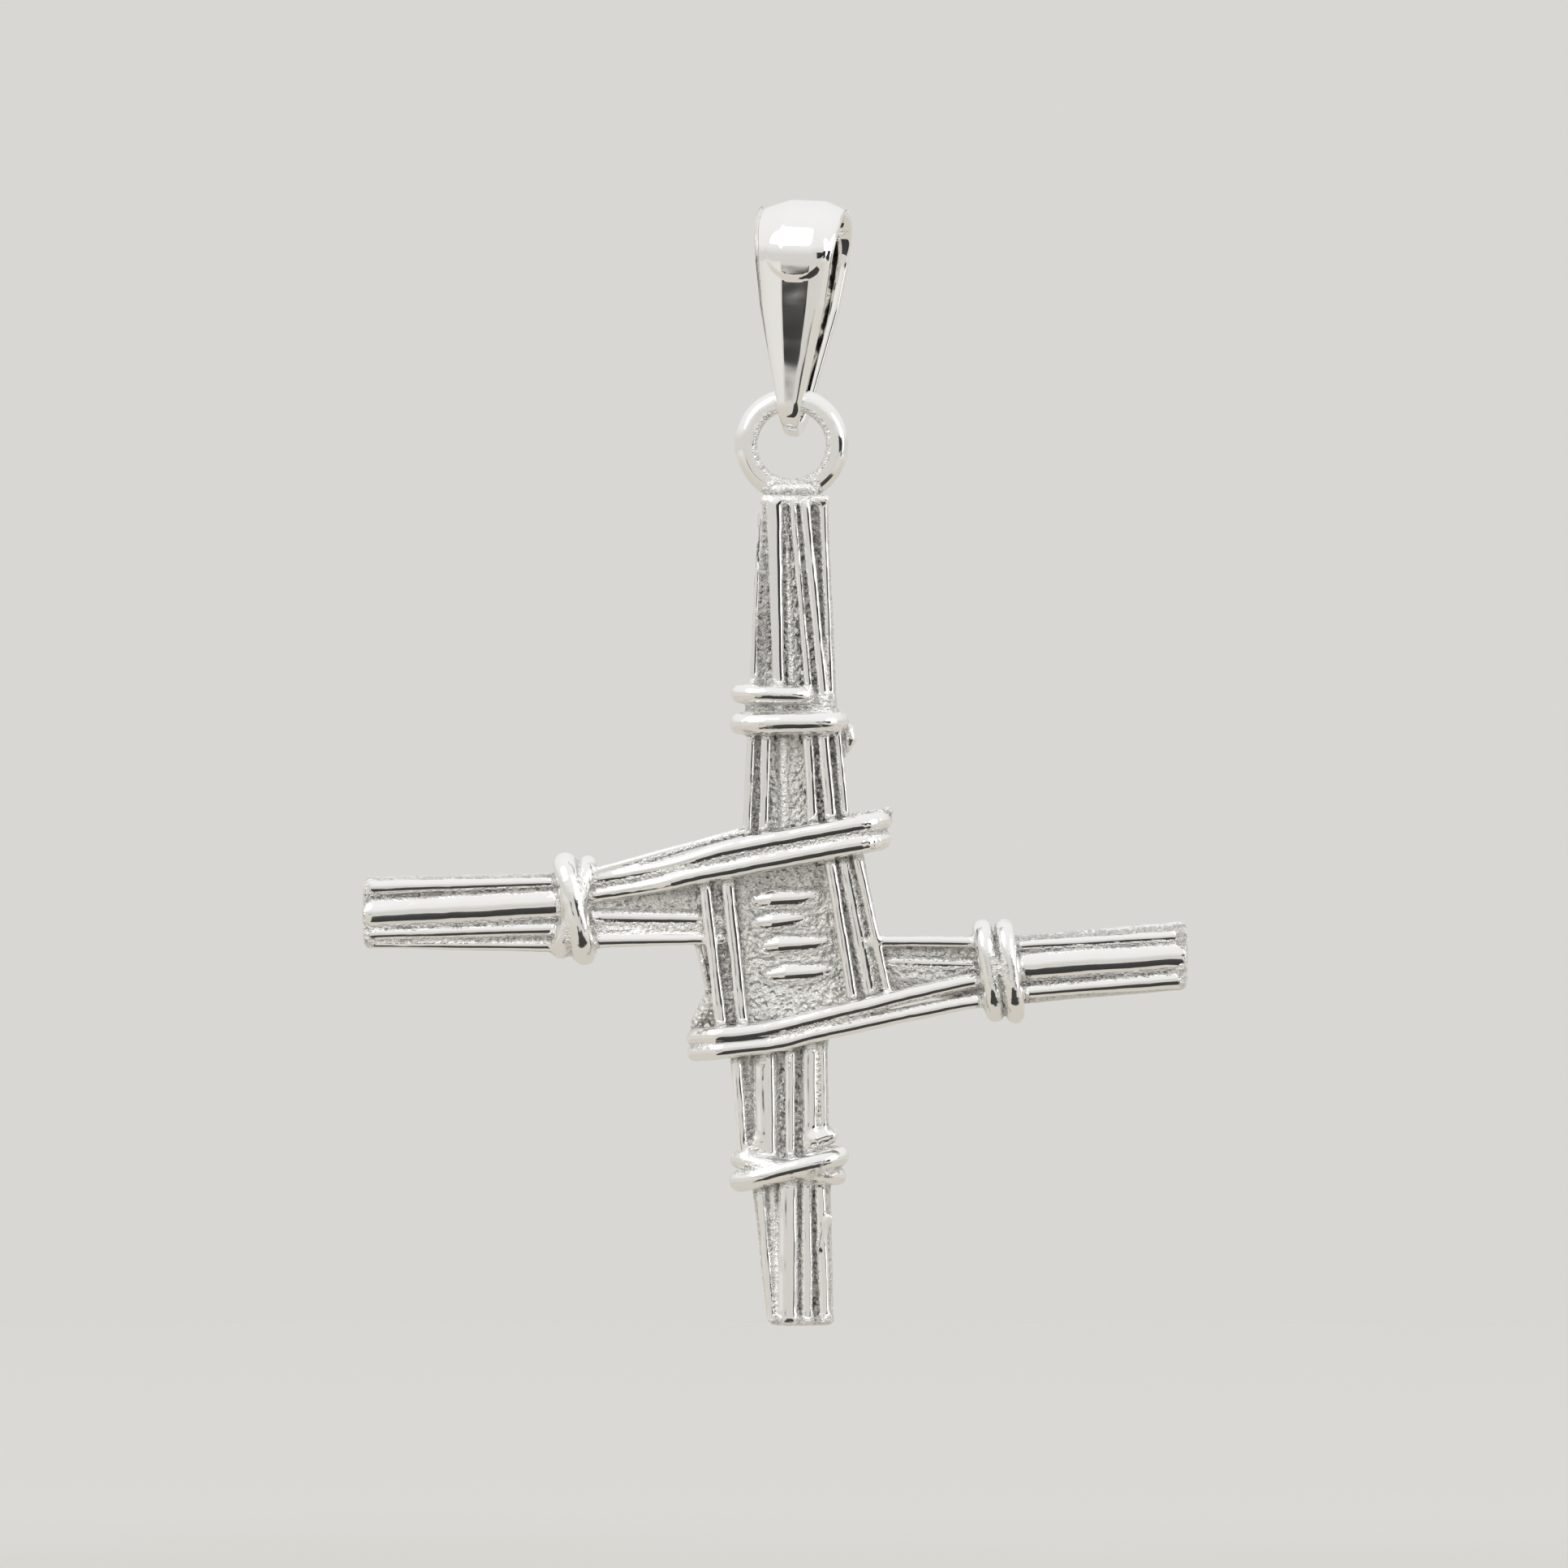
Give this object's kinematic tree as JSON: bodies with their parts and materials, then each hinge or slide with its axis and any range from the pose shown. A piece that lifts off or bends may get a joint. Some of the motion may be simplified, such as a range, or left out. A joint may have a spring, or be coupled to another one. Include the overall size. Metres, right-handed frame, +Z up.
{
  "type": "brigid cross pendant",
  "caption": "Cast silver pendant in the form of a woven rush cross, with tied reed arms, a hanging ring and a tapered bail for a chain.",
  "frame": {"origin": "the chain seat, the inside top of the bail", "axes": "+Z up, with the pendant hanging; the front faces -Y; +X to the right as the front is seen"},
  "size_m": [0.0263, 0.0041, 0.036],
  "materials": {
    "cast_silver": "polished on the raised reeds, frosted in the grooves",
    "polished_silver": "mirror polished"
  },
  "bodies": {
    "bail": {"bail": "polished_silver"},
    "cross": {"cross": "cast_silver"}
  },
  "joints": [
    {"name": "ring_swing", "type": "hinge", "parent": "bail", "child": "cross", "pos_m": [-0.00031, 0, -0.00584], "axis": [1, 0, 0], "range_deg": [-120, 120]}
  ]
}
